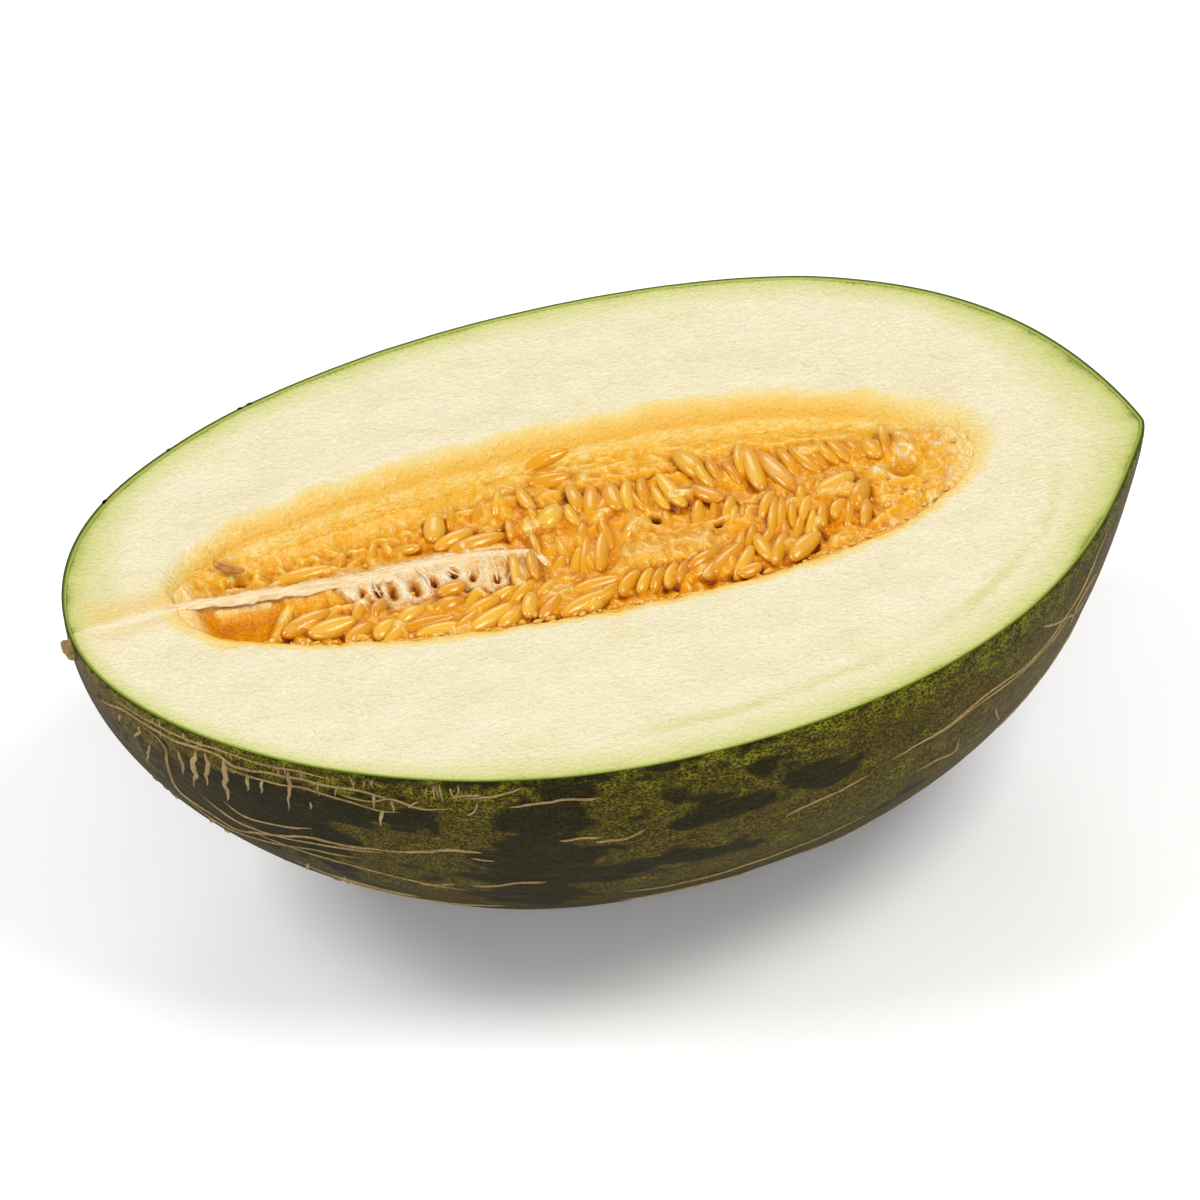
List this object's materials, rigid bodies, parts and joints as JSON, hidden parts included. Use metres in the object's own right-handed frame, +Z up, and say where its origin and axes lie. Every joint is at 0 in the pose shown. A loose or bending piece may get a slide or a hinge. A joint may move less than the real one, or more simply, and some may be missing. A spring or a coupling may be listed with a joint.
{
  "type": "melon half",
  "caption": "Half of a long green-rinded melon cut lengthwise, pale flesh up, with an open seed hollow full of seeds and pulp; rests on a small flat on its round underside.",
  "frame": {"origin": "middle of the underside: the bounding box's bottom centre, level with the small flat that the half rests on", "axes": "+X lengthwise towards the pointed stem end, +Y across the cut face, +Z up, out of the cut face"},
  "size_m": [0.262, 0.1708, 0.0887],
  "materials": {
    "flesh": "wet cream flesh, pale green towards the rind, with a fine pebbled grain",
    "rind": "dark green rind with speckled olive streaks and tan corky cracks, satin",
    "seeds": "wet golden seeds",
    "pulp": "wet golden orange pulp and hollow wall",
    "strand": "pale moist fibres"
  },
  "bodies": {
    "root": {"melon_flesh": "flesh", "seed_mass": "seeds", "placenta_strand": "strand"}
  },
  "joints": []
}
